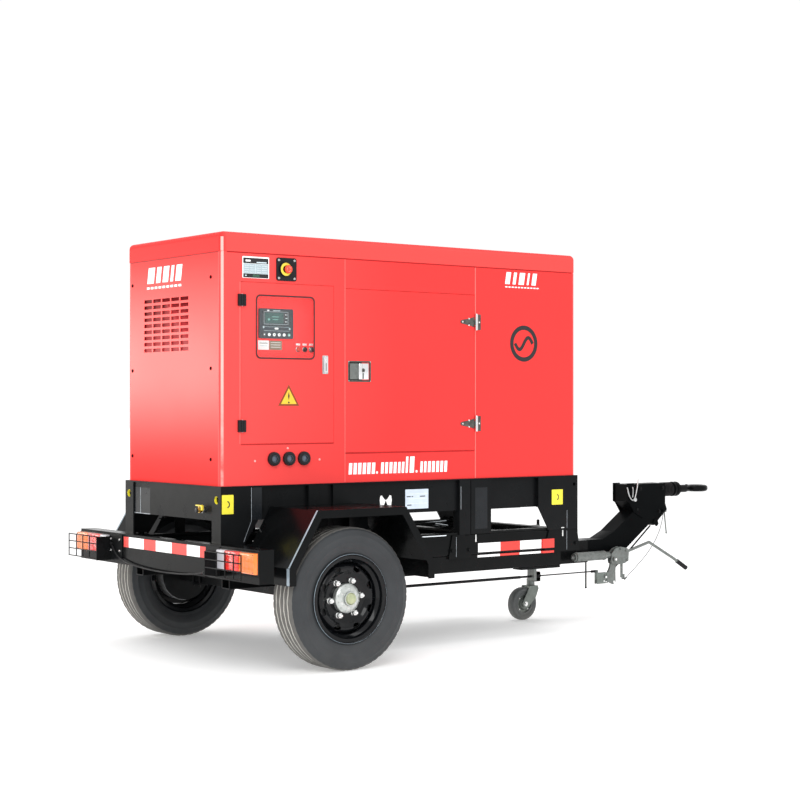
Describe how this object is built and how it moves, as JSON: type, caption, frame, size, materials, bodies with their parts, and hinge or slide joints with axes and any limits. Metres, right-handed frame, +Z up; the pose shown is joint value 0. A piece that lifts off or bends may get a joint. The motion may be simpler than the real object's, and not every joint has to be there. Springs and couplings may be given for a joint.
{
  "type": "towable diesel generator",
  "caption": "Sound-proofed diesel generator set in a sheet-metal canopy with service doors, on a single-axle trailer with jockey wheel, hand brake and tow eye.",
  "frame": {"origin": "centre of the footprint, on the ground", "axes": "+X forward to the tow eye, +Y to the left side of the trailer, +Z up; the side with the control door faces -Y"},
  "size_m": [4.161, 1.86, 2.194],
  "materials": {
    "red_paint": "gloss powder coat",
    "black_paint": "satin enamel",
    "black_gloss": "gloss enamel",
    "chrome": "polished",
    "zinc": "galvanised",
    "steel": "plain",
    "tyre": "ribbed",
    "grey_rubber": "matt",
    "black_rubber": "matt",
    "black_plastic": "moulded",
    "tank_plastic": "rotomoulded",
    "dark_panel": "control unit",
    "white_key": "moulded",
    "red_plastic": "moulded",
    "glass": "clear",
    "lens": "moulded lens",
    "engine_grey": "painted casting",
    "alloy": "plain",
    "cable_steel": "stranded"
  },
  "bodies": {
    "trailer": {"roof_cover": "red_paint", "side_panels": "red_paint", "rear_panel": "red_paint", "front_panel": "red_paint", "control_box": "red_paint", "controller_module": "dark_panel", "estop_base": "black_plastic", "cable_glands": "black_plastic", "skid_frame": "black_paint", "fuel_tank": "tank_plastic", "engine": "engine_grey", "alternator": "engine_grey", "radiator": "alloy", "muffler": "steel", "air_filter": "black_plastic", "battery": "black_plastic", "fan_belt": "black_rubber", "chassis_frame": "black_gloss", "drawbar": "black_gloss", "fenders": "black_gloss", "axle_beam": "black_paint", "leaf_springs": "black_paint", "tail_lamps": "lens", "lamp_guards": "black_paint", "fixed_hinge_leaves": "chrome", "brake_bracket": "zinc", "lamp_harness": "black_rubber", "breakaway_cable": "cable_steel"},
    "right_door": {"right_door": "red_paint", "right_latch_housing": "chrome", "right_hinge_leaves": "chrome"},
    "right_paddle": {"right_latch_paddle": "chrome"},
    "left_door": {"left_door": "red_paint", "left_latch_housing": "chrome", "left_hinge_leaves": "chrome"},
    "left_paddle": {"left_latch_paddle": "chrome"},
    "control_door": {"control_door": "red_paint", "control_door_window": "glass"},
    "control_lock": {"control_lock": "chrome"},
    "key_switch": {"key_switch": "black_plastic"},
    "estop_knob": {"estop_knob": "red_plastic"},
    "cooling_fan": {"cooling_fan": "black_plastic"},
    "crank_pulley": {"crank_pulley": "steel"},
    "wheel_right": {"tyre_right": "tyre", "rim_right": "black_gloss"},
    "wheel_left": {"tyre_left": "tyre", "rim_left": "black_gloss"},
    "jockey_tube": {"jockey_tube": "zinc"},
    "jockey_fork": {"jockey_fork": "zinc"},
    "jockey_wheel": {"jockey_wheel": "grey_rubber"},
    "handbrake": {"handbrake_lever": "zinc"},
    "brake_rod": {"brake_rod": "black_paint"},
    "tow_eye": {"tow_eye": "black_gloss"},
    "push_rod": {"push_rod": "black_paint"},
    "button_1": {"button_1": "white_key"},
    "button_2": {"button_2": "white_key"},
    "button_3": {"button_3": "white_key"},
    "button_4": {"button_4": "white_key"},
    "button_5": {"button_5": "white_key"},
    "button_6": {"button_6": "white_key"}
  },
  "joints": [
    {"name": "right_door_hinge", "type": "hinge", "parent": "trailer", "child": "right_door", "pos_m": [-0.2865, -0.497, 1.5], "axis": [0, 0, 1], "range_deg": [0, 120]},
    {"name": "right_paddle_pivot", "type": "hinge", "parent": "right_door", "child": "right_paddle", "pos_m": [-1.0835, -0.492, 1.541], "axis": [-1, 0, 0], "range_deg": [0, 30]},
    {"name": "left_door_hinge", "type": "hinge", "parent": "trailer", "child": "left_door", "pos_m": [-0.2865, 0.497, 1.5], "axis": [0, 0, -1], "range_deg": [0, 120]},
    {"name": "left_paddle_pivot", "type": "hinge", "parent": "left_door", "child": "left_paddle", "pos_m": [-1.0835, 0.492, 1.541], "axis": [1, 0, 0], "range_deg": [0, 30]},
    {"name": "control_door_hinge", "type": "hinge", "parent": "trailer", "child": "control_door", "pos_m": [-1.8165, -0.497, 1.5], "axis": [0, 0, -1], "range_deg": [0, 110]},
    {"name": "control_lock_pivot", "type": "hinge", "parent": "control_door", "child": "control_lock", "pos_m": [-1.3055, -0.4935, 1.572], "axis": [-1, 0, 0], "range_deg": [0, 60]},
    {"name": "button_1_press", "type": "slide", "parent": "trailer", "child": "button_1", "axis": [0, 1, 0], "range_m": [0, 0.0015], "stiffness_N_per_m": 300},
    {"name": "button_2_press", "type": "slide", "parent": "trailer", "child": "button_2", "axis": [0, 1, 0], "range_m": [0, 0.0015], "stiffness_N_per_m": 300},
    {"name": "button_3_press", "type": "slide", "parent": "trailer", "child": "button_3", "axis": [0, 1, 0], "range_m": [0, 0.0015], "stiffness_N_per_m": 300},
    {"name": "button_4_press", "type": "slide", "parent": "trailer", "child": "button_4", "axis": [0, 1, 0], "range_m": [0, 0.0015], "stiffness_N_per_m": 300},
    {"name": "button_5_press", "type": "slide", "parent": "trailer", "child": "button_5", "axis": [0, 1, 0], "range_m": [0, 0.0015], "stiffness_N_per_m": 300},
    {"name": "button_6_press", "type": "slide", "parent": "trailer", "child": "button_6", "axis": [0, 1, 0], "range_m": [0, 0.0015], "stiffness_N_per_m": 300},
    {"name": "key_turn", "type": "hinge", "parent": "trailer", "child": "key_switch", "pos_m": [-1.3405, -0.411, 1.612], "axis": [0, -1, 0], "range_deg": [0, 90]},
    {"name": "estop_press", "type": "slide", "parent": "trailer", "child": "estop_knob", "axis": [0, 1, 0], "range_m": [0, 0.004], "stiffness_N_per_m": 1500},
    {"name": "fan_spin", "type": "hinge", "parent": "trailer", "child": "cooling_fan", "pos_m": [0.1175, 0, 1.4], "axis": [1, 0, 0], "continuous": true},
    {"name": "crank_spin", "type": "hinge", "parent": "trailer", "child": "crank_pulley", "pos_m": [0.0845, 0, 1.15], "axis": [1, 0, 0], "continuous": true},
    {"name": "wheel_right_spin", "type": "hinge", "parent": "trailer", "child": "wheel_right", "pos_m": [-1.4325, -0.815, 0.357], "axis": [0, 1, 0], "continuous": true},
    {"name": "wheel_left_spin", "type": "hinge", "parent": "trailer", "child": "wheel_left", "pos_m": [-1.4325, 0.815, 0.357], "axis": [0, 1, 0], "continuous": true},
    {"name": "jockey_raise", "type": "slide", "parent": "trailer", "child": "jockey_tube", "axis": [0, 0, 1], "range_m": [0, 0.1]},
    {"name": "jockey_swivel", "type": "hinge", "parent": "jockey_tube", "child": "jockey_fork", "pos_m": [0.6675, 0.13, 0.2], "axis": [0, 0, 1], "continuous": true},
    {"name": "jockey_spin", "type": "hinge", "parent": "jockey_fork", "child": "jockey_wheel", "pos_m": [0.5975, 0.13, 0.1], "axis": [0, 1, 0], "continuous": true},
    {"name": "handbrake_pull", "type": "hinge", "parent": "trailer", "child": "handbrake", "pos_m": [1.1275, -0.12, 0.362], "axis": [0, -1, 0], "range_deg": [0, 25]},
    {"name": "brake_rod_pull", "type": "slide", "parent": "trailer", "child": "brake_rod", "axis": [1, 0, 0], "range_m": [0, 0.052]},
    {"name": "overrun_slide", "type": "slide", "parent": "trailer", "child": "tow_eye", "axis": [-1, 0, 0], "range_m": [0, 0.05], "stiffness_N_per_m": 2500},
    {"name": "push_rod_slide", "type": "slide", "parent": "trailer", "child": "push_rod", "axis": [-0.7832, 0, -0.6218], "range_m": [0, 0.025]}
  ],
  "couplings": [
    {"joint": "crank_spin", "follows": "fan_spin", "ratio": 0.77011},
    {"joint": "brake_rod_pull", "follows": "handbrake_pull", "m_per_rad": 0.1165},
    {"joint": "push_rod_slide", "follows": "overrun_slide", "ratio": 0.5}
  ]
}
